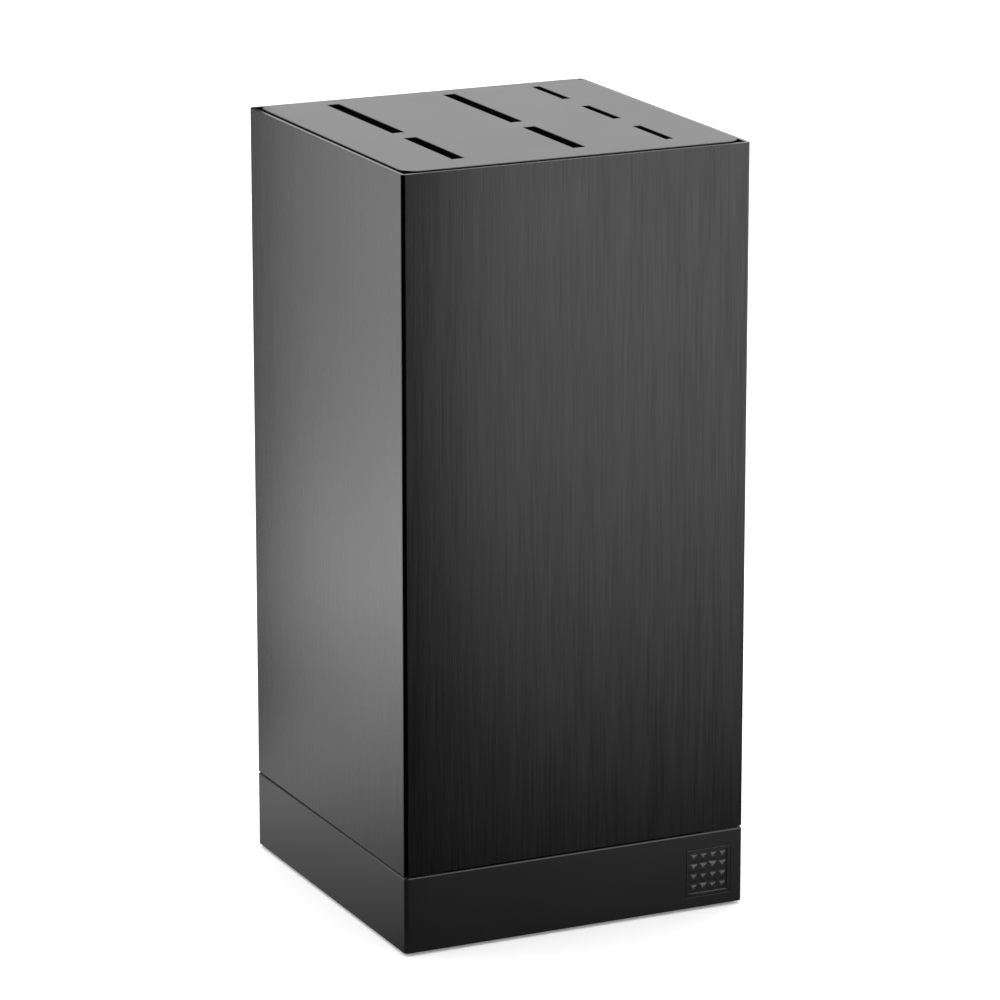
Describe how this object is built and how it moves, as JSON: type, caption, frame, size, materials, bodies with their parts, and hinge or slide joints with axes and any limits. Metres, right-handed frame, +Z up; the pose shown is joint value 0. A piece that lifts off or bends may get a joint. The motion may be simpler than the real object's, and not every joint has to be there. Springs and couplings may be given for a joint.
{
  "type": "knife block",
  "caption": "Tall square countertop block with a brushed black sleeve on a moulded plinth and a slotted lift-out cassette that holds kitchen knives upright by their blades.",
  "frame": {"origin": "on the table, under the middle of the four feet, at the bottom centre of the bounding box", "axes": "+Z up the block; -Y out of the front face, which has the badge at its lower right; +X to the right seen from the front, so the slots run front to back along Y"},
  "size_m": [0.11, 0.11, 0.2314],
  "materials": {
    "black_anodised": "black anodised, brushed vertically, fine bright rim",
    "black_moulding": "smooth satin moulding",
    "insert_moulding": "fine matte moulding",
    "guide_moulding": "plain matte moulding",
    "bare_aluminium": "sawn and turned, uncoated",
    "rubber": "matte rubber",
    "steel": "zinc plated steel"
  },
  "bodies": {
    "block": {"badge": "black_moulding", "ballast_plate": "steel", "base_cover": "black_moulding", "corner_block_back_left": "bare_aluminium", "corner_block_back_right": "bare_aluminium", "corner_block_front_left": "bare_aluminium", "corner_block_front_right": "bare_aluminium", "cover_screw_back": "steel", "cover_screw_front": "steel", "cover_screw_left": "steel", "cover_screw_right": "steel", "floor_pad": "rubber", "foot_back_left": "rubber", "foot_back_right": "rubber", "foot_front_left": "rubber", "foot_front_right": "rubber", "ledge_back": "bare_aluminium", "ledge_front": "bare_aluminium", "ledge_left": "bare_aluminium", "ledge_right": "bare_aluminium", "plinth": "black_moulding", "sleeve": "black_anodised", "sleeve_screw_back_left": "steel", "sleeve_screw_back_right": "steel", "sleeve_screw_front_left": "steel", "sleeve_screw_front_right": "steel"},
    "cassette": {"deck_bar_1": "guide_moulding", "deck_bar_2": "guide_moulding", "deck_bar_3": "guide_moulding", "deck_bar_4": "guide_moulding", "deck_rail_back": "guide_moulding", "deck_rail_front": "guide_moulding", "guide_left_far": "guide_moulding", "guide_left_near": "guide_moulding", "guide_middle_far": "guide_moulding", "guide_middle_near": "guide_moulding", "guide_right_far": "guide_moulding", "guide_right_near": "guide_moulding", "spacer_left_1": "guide_moulding", "spacer_left_2": "guide_moulding", "spacer_left_3": "guide_moulding", "spacer_middle_1": "guide_moulding", "spacer_middle_2": "guide_moulding", "spacer_middle_3": "guide_moulding", "spacer_right_1": "guide_moulding", "spacer_right_2": "guide_moulding", "spacer_right_3": "guide_moulding", "spacer_right_4": "guide_moulding", "spreader_left_back": "guide_moulding", "spreader_left_front": "guide_moulding", "spreader_right_back": "guide_moulding", "spreader_right_front": "guide_moulding", "top_insert": "insert_moulding"}
  },
  "joints": [
    {"name": "cassette_lift", "type": "slide", "parent": "block", "child": "cassette", "axis": [0, 0, 1], "range_m": [0, 0.165]}
  ]
}
